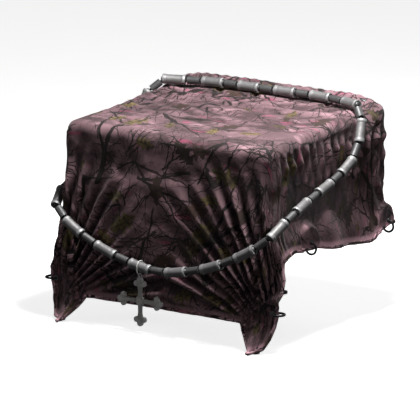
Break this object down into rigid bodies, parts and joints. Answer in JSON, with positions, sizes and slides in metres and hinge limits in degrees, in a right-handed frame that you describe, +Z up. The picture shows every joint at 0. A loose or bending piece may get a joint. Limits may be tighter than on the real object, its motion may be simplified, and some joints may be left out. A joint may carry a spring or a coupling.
{
  "type": "layout field blind",
  "caption": "Boxy draped camouflage cloth blind on a folding tube frame, with a heavy link chain wrapped round it, a hanging cross and tie-down rings at the hem.",
  "frame": {"origin": "bottom centre of the box that holds the whole object, on the ground", "axes": "+Z up, +Y to the back, +X to the right seen from the front; the cross hangs on the front, -Y side"},
  "size_m": [0.887, 0.729, 0.6863],
  "materials": {
    "cover_cloth": "brushed pink and mauve camouflage cloth",
    "webbing": "woven",
    "eyelets": "dark nickel",
    "cast_fittings": "dark satin",
    "hinge_bolts": "zinc plated",
    "frame_tube": "black satin coating",
    "rubber_feet": "matte",
    "knobs": "matte",
    "chain_barrels": "aged gunmetal",
    "chain_rods": "aged gunmetal",
    "chain_pins": "dark",
    "pendant": "aged pewter",
    "rings": "dark nickel"
  },
  "bodies": {
    "frame": {"cover_top": "cover_cloth", "cover_front": "cover_cloth", "cover_left": "cover_cloth", "cover_right": "cover_cloth", "cover_rear": "cover_cloth", "leg_flap_left": "cover_cloth", "leg_flap_right": "cover_cloth", "cover_ties": "webbing", "hem_eyelets": "eyelets", "top_webbing": "webbing", "front_crossbar": "frame_tube", "rear_crossbar": "frame_tube", "side_rail_left": "frame_tube", "side_rail_right": "frame_tube", "rear_bow": "frame_tube", "front_bracket_left": "cast_fittings", "front_bracket_right": "cast_fittings", "rear_bracket_left": "cast_fittings", "rear_bracket_right": "cast_fittings", "rear_hinge_clamp": "cast_fittings", "front_hinge_pins": "hinge_bolts", "rear_hinge_pin": "hinge_bolts"},
    "front_legs": {"front_leg_left": "frame_tube", "front_leg_right": "frame_tube", "front_tie_bar": "frame_tube", "tie_bar_collars": "cast_fittings", "front_feet": "rubber_feet"},
    "rear_post": {"rear_leg": "frame_tube", "rear_foot": "rubber_feet"},
    "chain": {"chain_barrels": "chain_barrels", "chain_rods": "chain_rods", "chain_pins": "chain_pins"},
    "bail": {"pendant_bail": "pendant"},
    "cross": {"pendant_cross": "pendant"},
    "hinge_knob_left": {"hinge_knob_left": "knobs"},
    "hinge_knob_right": {"hinge_knob_right": "knobs"},
    "hinge_knob_rear": {"hinge_knob_rear": "knobs"},
    "ring_leg_left": {"ring_leg_left": "rings"},
    "ring_leg_right": {"ring_leg_right": "rings"},
    "ring_side_left": {"ring_side_left": "rings"},
    "ring_side_right": {"ring_side_right": "rings"},
    "ring_rear_left": {"ring_rear_left": "rings"},
    "ring_rear_right": {"ring_rear_right": "rings"}
  },
  "joints": [
    {"name": "front_leg_fold", "type": "hinge", "parent": "frame", "child": "front_legs", "pos_m": [0, -0.2605, 0.568], "axis": [1, 0, 0], "range_deg": [0, 91]},
    {"name": "rear_leg_fold", "type": "hinge", "parent": "frame", "child": "rear_post", "pos_m": [0, 0.3155, 0.535], "axis": [-1, 0, 0], "range_deg": [0, 88]},
    {"name": "chain_lift", "type": "hinge", "parent": "frame", "child": "chain", "pos_m": [0, 0.28786, 0.66875], "axis": [-1, 0, 0], "range_deg": [0, 37]},
    {"name": "bail_swing", "type": "hinge", "parent": "chain", "child": "bail", "pos_m": [-0.06677, -0.32259, 0.20988], "axis": [-1, 0, 0], "range_deg": [-3, 80]},
    {"name": "cross_swing", "type": "hinge", "parent": "bail", "child": "cross", "pos_m": [-0.06677, -0.32259, 0.18438], "axis": [0, 1, 0], "range_deg": [-35, 35]},
    {"name": "ring_leg_left_swing", "type": "hinge", "parent": "frame", "child": "ring_leg_left", "pos_m": [-0.403, -0.2941, 0.122], "axis": [0, -1, 0], "range_deg": [-20, 35]},
    {"name": "ring_side_left_swing", "type": "hinge", "parent": "frame", "child": "ring_side_left", "pos_m": [-0.3964, -0.0745, 0.298], "axis": [1, 0, 0], "range_deg": [-30, 30]},
    {"name": "ring_rear_left_swing", "type": "hinge", "parent": "frame", "child": "ring_rear_left", "pos_m": [-0.4184, 0.3405, 0.28891], "axis": [1, 0, 0], "range_deg": [-30, 30]},
    {"name": "knob_left_turn", "type": "hinge", "parent": "frame", "child": "hinge_knob_left", "pos_m": [-0.35, -0.2605, 0.568], "axis": [1, 0, 0], "range_deg": [0, 360]},
    {"name": "ring_leg_right_swing", "type": "hinge", "parent": "frame", "child": "ring_leg_right", "pos_m": [0.403, -0.2941, 0.122], "axis": [0, 1, 0], "range_deg": [-20, 35]},
    {"name": "ring_side_right_swing", "type": "hinge", "parent": "frame", "child": "ring_side_right", "pos_m": [0.3964, -0.0745, 0.298], "axis": [1, 0, 0], "range_deg": [-30, 30]},
    {"name": "ring_rear_right_swing", "type": "hinge", "parent": "frame", "child": "ring_rear_right", "pos_m": [0.4184, 0.3405, 0.28891], "axis": [1, 0, 0], "range_deg": [-30, 30]},
    {"name": "knob_right_turn", "type": "hinge", "parent": "frame", "child": "hinge_knob_right", "pos_m": [0.35, -0.2605, 0.568], "axis": [1, 0, 0], "range_deg": [0, 360]},
    {"name": "knob_rear_turn", "type": "hinge", "parent": "frame", "child": "hinge_knob_rear", "pos_m": [0, 0.3155, 0.535], "axis": [1, 0, 0], "range_deg": [0, 360]}
  ]
}
